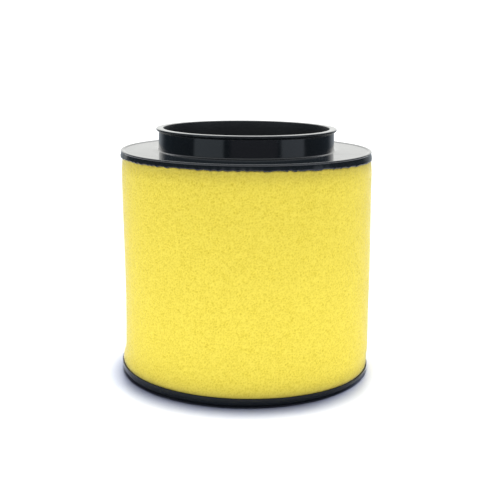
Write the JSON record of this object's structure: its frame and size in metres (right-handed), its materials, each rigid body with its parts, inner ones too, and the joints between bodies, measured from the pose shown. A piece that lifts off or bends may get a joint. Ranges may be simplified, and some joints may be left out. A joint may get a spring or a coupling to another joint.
{
  "type": "air filter element",
  "caption": "Round two-stage engine air filter element: oiled foam sleeve over a pleated paper core, between a closed black end cap and an open-necked one that clamps to the air box tube.",
  "frame": {"origin": "centre of the closed end cap's underside", "axes": "+Z along the element's own axis, from the closed cap to the open neck; +Y towards the foam's glued joint, which is at the back"},
  "size_m": [0.1288, 0.1288, 0.1234],
  "materials": {
    "moulded_cap": "glossy black moulded polyurethane, smooth, duller in the bore of the neck",
    "filter_foam": "matt yellow open-cell reticulated polyurethane foam, about 1.5 mm between pores",
    "adhesive": "dull amber contact adhesive",
    "expanded_steel": "galvanised expanded steel, dull grey",
    "filter_paper": "matt cream resin-treated filter paper, pleated",
    "tinplate": "crimped tinplate strip",
    "hot_melt": "satin translucent hot-melt adhesive",
    "potting_compound": "cast black potting, slightly glossy"
  },
  "bodies": {
    "root": {"top_end_cap": "moulded_cap", "bottom_end_cap": "moulded_cap", "foam_wrap": "filter_foam", "foam_seam_glue": "adhesive", "foam_bond_bottom": "adhesive", "foam_bond_top": "adhesive", "outer_screen": "expanded_steel", "pleated_paper": "filter_paper", "pleat_seam_clip": "tinplate", "pleat_band_lower": "hot_melt", "pleat_band_middle": "hot_melt", "pleat_band_upper": "hot_melt", "inner_core": "expanded_steel", "potting_bottom": "potting_compound", "potting_top": "potting_compound"}
  },
  "joints": []
}
